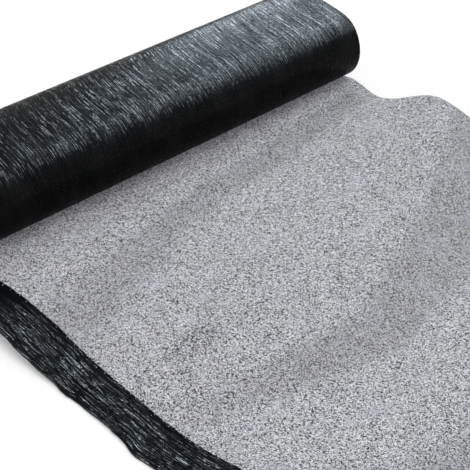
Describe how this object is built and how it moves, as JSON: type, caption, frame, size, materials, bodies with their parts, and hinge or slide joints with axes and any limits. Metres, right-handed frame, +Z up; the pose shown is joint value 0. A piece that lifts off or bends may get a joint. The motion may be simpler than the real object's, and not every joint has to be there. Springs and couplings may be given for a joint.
{
  "type": "roll of roofing felt",
  "caption": "Roll of mineral-surfaced bitumen roofing felt lying on its side, slumped to an oval, with a length unrolled in front of it and a bare selvedge along one edge.",
  "frame": {"origin": "on the floor under the middle of the roll, at the centre of the roll's flat underside", "axes": "+X along the roll from the selvedge end to the granule end, -Y the way the felt unrolls, +Z up from the floor"},
  "size_m": [1, 1.1714, 0.151],
  "materials": {
    "bitumen_felt": "black backing film with fine creases, matt black cut edges",
    "mineral_granules": "light grey mineral granules with scattered dark ones"
  },
  "bodies": {
    "root": {"roofing_felt_roll": "bitumen_felt"}
  },
  "joints": []
}
